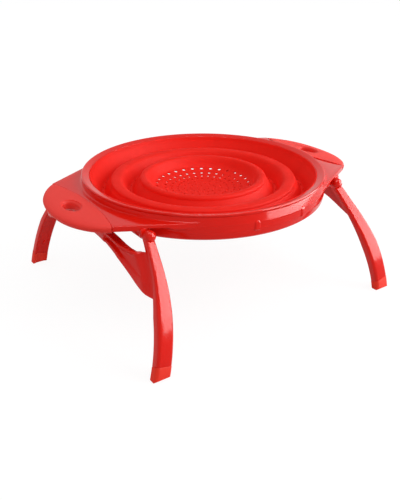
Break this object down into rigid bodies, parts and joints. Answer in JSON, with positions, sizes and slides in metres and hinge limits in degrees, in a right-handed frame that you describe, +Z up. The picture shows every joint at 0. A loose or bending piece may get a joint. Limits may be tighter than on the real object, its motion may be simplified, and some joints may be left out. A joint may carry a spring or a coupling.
{
  "type": "collapsible colander",
  "caption": "Collapsible silicone colander held in a rigid round frame with two soft-grip handles and folding splayed leg frames.",
  "frame": {"origin": "on the table under the centre of the bowl, between the four feet", "axes": "+X through the right handle, -Y towards the viewer of the picture, +Z up out of the bowl"},
  "size_m": [0.3392, 0.2812, 0.1259],
  "materials": {
    "frame_plastic": "glossy red moulded plastic",
    "silicone": "satin red silicone",
    "soft_grip": "matte soft-touch red",
    "foot_rubber": "satin orange-red rubber",
    "pin_plastic": "glossy red moulded plastic"
  },
  "bodies": {
    "colander": {"outer_frame": "frame_plastic", "clamp_ring": "frame_plastic", "bowl_outer_wall": "silicone", "bowl_outer_fold": "silicone", "left_grip": "soft_grip", "right_grip": "soft_grip", "left_front_hinge_pin": "pin_plastic", "left_rear_hinge_pin": "pin_plastic", "right_front_hinge_pin": "pin_plastic", "right_rear_hinge_pin": "pin_plastic"},
    "middle_ring": {"bowl_middle_ring": "silicone", "bowl_inner_fold": "silicone"},
    "dish": {"bowl_centre_dish": "silicone"},
    "right_legs": {"right_leg_frame": "frame_plastic", "right_front_foot_cap": "foot_rubber", "right_rear_foot_cap": "foot_rubber"},
    "left_legs": {"left_leg_frame": "frame_plastic", "left_front_foot_cap": "foot_rubber", "left_rear_foot_cap": "foot_rubber"}
  },
  "joints": [
    {"name": "middle_ring_drop", "type": "slide", "parent": "colander", "child": "middle_ring", "axis": [0, 0, 1], "range_m": [-0.0286, 0], "deforming": ["bowl_outer_fold"]},
    {"name": "dish_drop", "type": "slide", "parent": "middle_ring", "child": "dish", "axis": [0, 0, 1], "range_m": [-0.0286, 0], "deforming": ["bowl_inner_fold"]},
    {"name": "right_leg_hinge", "type": "hinge", "parent": "colander", "child": "right_legs", "pos_m": [0.1143, 0, 0.1087], "axis": [0, 1, 0], "range_deg": [0, 103]},
    {"name": "left_leg_hinge", "type": "hinge", "parent": "colander", "child": "left_legs", "pos_m": [-0.1143, 0, 0.1087], "axis": [0, -1, 0], "range_deg": [0, 103]}
  ]
}
